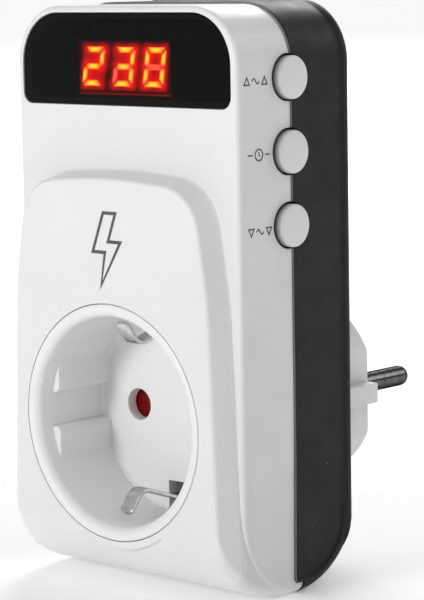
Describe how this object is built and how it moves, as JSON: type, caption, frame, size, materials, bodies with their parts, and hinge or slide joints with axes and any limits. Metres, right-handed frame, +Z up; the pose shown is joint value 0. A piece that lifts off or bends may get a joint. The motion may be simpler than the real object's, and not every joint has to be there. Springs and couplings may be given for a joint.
{
  "type": "outlet tester plug",
  "caption": "Plug-through mains voltage protector with a wall plug behind, an earthed socket in front, an LED voltmeter and side setting buttons.",
  "frame": {"origin": "centre of the plug's end face, between its two pins", "axes": "+Y out of the plug face along the pins, +Z up, +X towards the button side"},
  "size_m": [0.0573, 0.0736, 0.1069],
  "materials": {
    "white_shell": "satin, fine mould texture",
    "dark_shell": "fine satin texture",
    "grey_plastic": "satin",
    "button_plastic": "satin",
    "smoked_window": "polished, smoked",
    "led_body": "matte",
    "led_segment": "lit red-orange",
    "red_plastic": "gloss",
    "nickel": "bright nickel plate",
    "brass": "rolled strip",
    "spring_steel": "drawn wire",
    "screw_steel": "zinc plated",
    "circuit_board": "solder mask",
    "black_component": "moulded",
    "blue_component": "moulded",
    "yellow_component": "moulded",
    "brown_wire": "insulation",
    "blue_wire": "insulation"
  },
  "bodies": {
    "housing": {"front_cover": "white_shell", "socket_insert": "white_shell", "rear_cover": "dark_shell", "plug_base": "grey_plastic", "shutter_guide": "grey_plastic", "display_window": "smoked_window", "led_module": "led_body", "led_digit_1": "led_segment", "led_digit_2": "led_segment", "led_digit_3": "led_segment", "plug_pin_line": "nickel", "plug_pin_neutral": "nickel", "plug_earth_contact_top": "nickel", "plug_earth_contact_bottom": "nickel", "earth_strap": "brass", "contact_line": "brass", "contact_neutral": "brass", "neutral_link": "brass", "shutter_spring": "spring_steel", "case_screw_1": "screw_steel", "case_screw_2": "screw_steel", "case_screw_3": "screw_steel", "case_screw_4": "screw_steel", "control_board": "circuit_board", "power_board": "circuit_board", "microcontroller": "black_component", "board_header": "black_component", "filter_capacitor": "black_component", "fuse": "black_component", "bridge_rectifier": "black_component", "switch_body_1": "black_component", "switch_body_2": "black_component", "switch_body_3": "black_component", "relay": "blue_component", "varistor": "blue_component", "dropper_capacitor": "yellow_component", "wire_line_in": "brown_wire", "wire_line_out": "brown_wire", "wire_neutral": "blue_wire"},
    "shutter": {"safety_shutter": "red_plastic"},
    "top_earth_clip": {"earth_clip_top": "nickel"},
    "bottom_earth_clip": {"earth_clip_bottom": "nickel"},
    "upper_button": {"button_1": "button_plastic", "switch_stem_1": "black_component"},
    "middle_button": {"button_2": "button_plastic", "switch_stem_2": "black_component"},
    "lower_button": {"button_3": "button_plastic", "switch_stem_3": "black_component"}
  },
  "joints": [
    {"name": "upper_button_press", "type": "slide", "parent": "housing", "child": "upper_button", "axis": [-1, 0, 0], "range_m": [0, 0.0005], "stiffness_N_per_m": 800, "springref_m": -0.001},
    {"name": "middle_button_press", "type": "slide", "parent": "housing", "child": "middle_button", "axis": [-1, 0, 0], "range_m": [0, 0.0005], "stiffness_N_per_m": 800, "springref_m": -0.001},
    {"name": "lower_button_press", "type": "slide", "parent": "housing", "child": "lower_button", "axis": [-1, 0, 0], "range_m": [0, 0.0005], "stiffness_N_per_m": 800, "springref_m": -0.001},
    {"name": "shutter_slide", "type": "slide", "parent": "housing", "child": "shutter", "axis": [0, 0, 1], "range_m": [0, 0.0064], "stiffness_N_per_m": 80, "springref_m": -0.004, "deforming": ["shutter_spring"]},
    {"name": "top_earth_clip_flex", "type": "hinge", "parent": "housing", "child": "top_earth_clip", "pos_m": [0, -0.0363, 0.0164], "axis": [-1, 0, 0], "range_deg": [0, 3.5], "stiffness_Nm_per_rad": 0.4, "springref_deg": -1.15},
    {"name": "bottom_earth_clip_flex", "type": "hinge", "parent": "housing", "child": "bottom_earth_clip", "pos_m": [0, -0.0363, -0.0164], "axis": [1, 0, 0], "range_deg": [0, 3.5], "stiffness_Nm_per_rad": 0.4, "springref_deg": -1.15}
  ]
}
